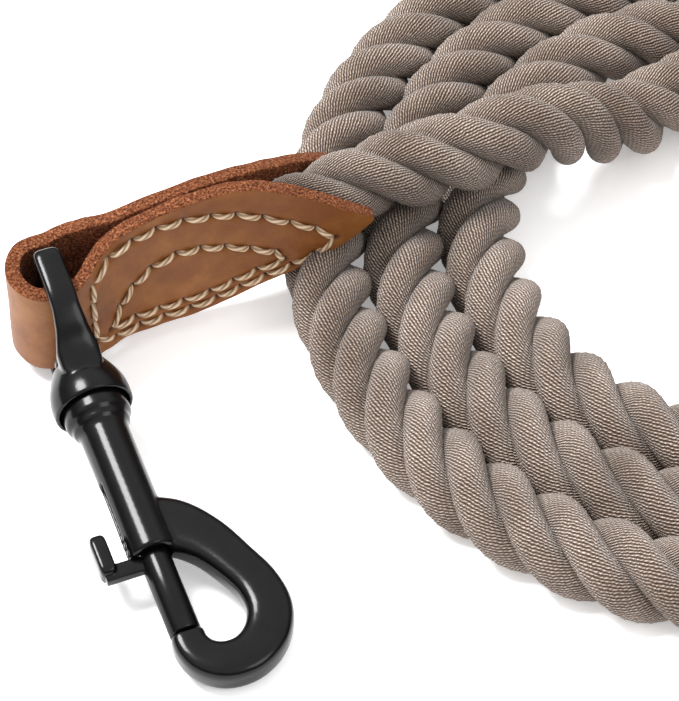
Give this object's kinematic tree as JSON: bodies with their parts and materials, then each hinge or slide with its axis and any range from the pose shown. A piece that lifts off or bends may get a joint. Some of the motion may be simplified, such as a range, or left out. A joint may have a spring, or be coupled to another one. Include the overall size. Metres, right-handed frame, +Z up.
{
  "type": "training leash",
  "caption": "Coiled three-strand cotton rope training leash with a stitched leather clip end, a swivel bolt snap and a leather-bound hand loop.",
  "frame": {"origin": "on the surface the leash lies on, under the middle of the box round the snap and the clip leather", "axes": "+Z up; the snap hook points along -Y; the clip leather runs from the snap's eye along +X to where the rope leaves it"},
  "size_m": [0.2324, 0.2081, 0.0417],
  "materials": {
    "black_metal": "gloss black enamel on a zinc casting",
    "spring_steel": "drawn wire",
    "leather": "waxed tan face with raw suede edges",
    "thread": "waxed linen thread",
    "rope": "soft twisted cotton yarn"
  },
  "bodies": {
    "root": {"clip_leather": "leather", "outer_needle_thread": "thread", "outer_bobbin_thread": "thread", "inner_needle_thread": "thread", "inner_bobbin_thread": "thread", "rope_sewn_end": "rope", "rope_lead": "rope", "rope_coil": "rope", "rope_handle": "rope", "handle_leather": "leather", "handle_needle_thread": "thread", "handle_bobbin_thread": "thread"},
    "eye": {"swivel_eye": "black_metal"},
    "hook": {"snap_body": "black_metal", "swivel_rivet": "black_metal", "gate_spring": "spring_steel"},
    "gate": {"gate_bolt": "black_metal", "thumb_lever": "black_metal"}
  },
  "joints": [
    {"name": "eye_pivot", "type": "hinge", "parent": "root", "child": "eye", "pos_m": [-0.0264, 0.0386, 0.0158], "axis": [0, -0.134, 0.991], "range_deg": [-187, 5]},
    {"name": "hook_swivel", "type": "hinge", "parent": "eye", "child": "hook", "pos_m": [-0.0264, 0.01383, 0.01245], "axis": [0, -0.991, -0.134], "continuous": true},
    {"name": "gate_slide", "type": "slide", "parent": "hook", "child": "gate", "axis": [0, 0.991, 0.134], "range_m": [0, 0.014], "stiffness_N_per_m": 300, "springref_m": -0.005, "deforming": ["gate_spring"]}
  ]
}
